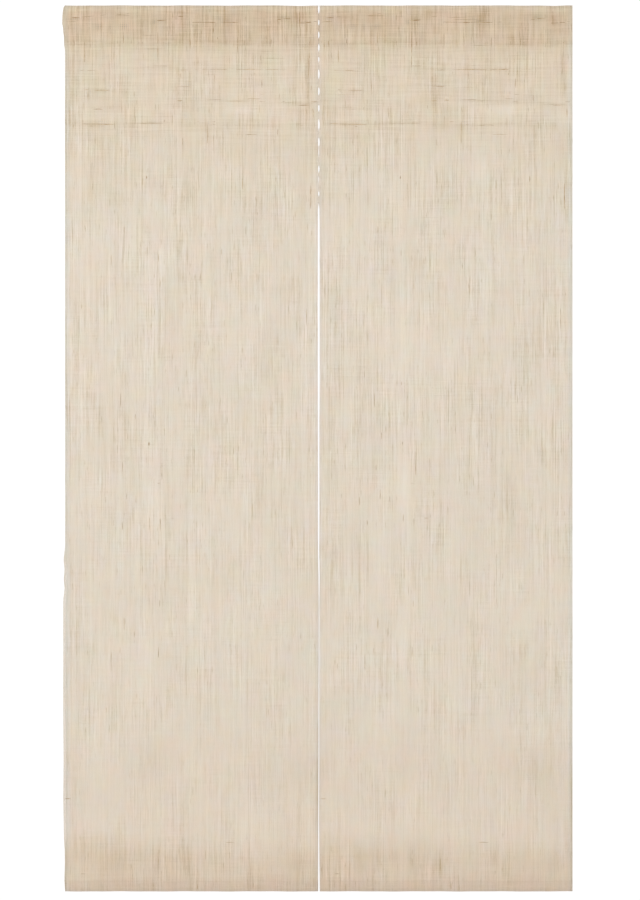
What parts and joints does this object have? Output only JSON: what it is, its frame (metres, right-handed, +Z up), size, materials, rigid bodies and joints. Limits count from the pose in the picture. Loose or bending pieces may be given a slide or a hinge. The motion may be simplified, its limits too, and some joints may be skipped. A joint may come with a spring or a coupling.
{
  "type": "noren curtain",
  "caption": "Linen doorway curtain, its panels stitched together over the top part and parted by a slit below, with a rod pocket along the top edge.",
  "frame": {"origin": "middle of the top edge, where the panels meet over the rod", "axes": "+Z up, +X to the right seen from the front, -Y out of the front of the cloth"},
  "size_m": [0.8639, 0.0162, 1.5],
  "materials": {
    "linen": "unbleached loosely woven linen with slubs, matt and slightly sheer"
  },
  "bodies": {
    "root": {"left_panel": "linen", "right_panel": "linen"}
  },
  "joints": []
}
